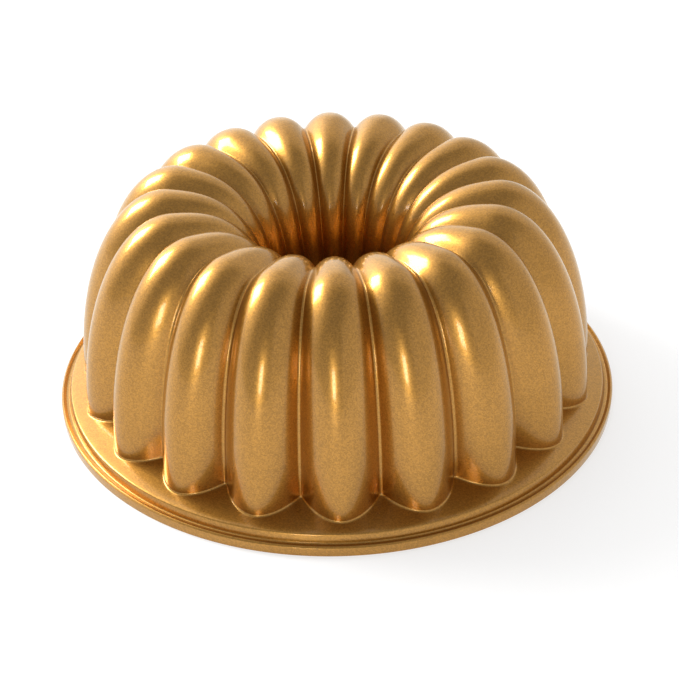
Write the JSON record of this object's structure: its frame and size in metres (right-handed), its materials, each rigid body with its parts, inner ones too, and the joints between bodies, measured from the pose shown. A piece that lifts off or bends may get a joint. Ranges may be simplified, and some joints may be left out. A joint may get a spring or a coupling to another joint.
{
  "type": "bundt pan",
  "caption": "Round fluted ring cake pan in gold-coated cast aluminium, with a tapered open centre tube and a flat stepped rim flange, shown upside down on its rim.",
  "frame": {"origin": "centre of the rim's flat face, on the pan's axis, at the level of the table that the upside-down pan stands on", "axes": "+Z is the pan's axis, from the rim's flat face towards the fluted crown; -Y is the front, where a flute's crest points"},
  "size_m": [0.262, 0.262, 0.1023],
  "materials": {
    "casting": "cast aluminium with a gold metallic coating, satin with fine flakes",
    "lining": "gold-brown non-stick coating, smooth satin"
  },
  "bodies": {
    "root": {"rim_edge": "casting", "flange": "casting", "outer_wall": "casting", "outer_crown": "casting", "inner_crown": "casting", "centre_tube": "casting", "tube_lip": "casting", "nonstick_lining": "lining"}
  },
  "joints": []
}
